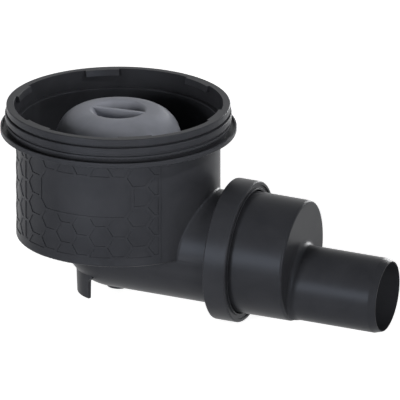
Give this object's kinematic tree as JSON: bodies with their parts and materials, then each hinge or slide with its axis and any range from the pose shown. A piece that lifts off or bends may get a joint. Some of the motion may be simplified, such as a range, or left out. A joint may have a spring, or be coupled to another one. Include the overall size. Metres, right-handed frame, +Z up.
{
  "type": "floor drain body",
  "caption": "Round floor drain body with a bayonet rim, a lift-out bell trap and a near-horizontal outlet with an eccentric reducer.",
  "frame": {"origin": "centre of the rim's top face, on the pot's axis", "axes": "+Z up along the pot's axis, out of the rim; +X along the outlet, away from the pot; +Y completes the right hand"},
  "size_m": [0.402, 0.2338, 0.2094],
  "materials": {
    "body_plastic": "fine satin moulding, dark anthracite",
    "bell_plastic": "fine satin moulding, mid grey",
    "seal_rubber": "smooth black rubber"
  },
  "bodies": {
    "drain": {"drain_body": "body_plastic", "outlet_seal": "seal_rubber", "seal_retaining_ring": "body_plastic", "outlet_reducer": "body_plastic"},
    "trap_insert": {"trap_standpipe": "body_plastic", "standpipe_seal": "seal_rubber", "trap_bell": "bell_plastic"}
  },
  "joints": [
    {"name": "trap_lift", "type": "slide", "parent": "drain", "child": "trap_insert", "axis": [0, 0, 1], "range_m": [0, 0.1]}
  ]
}
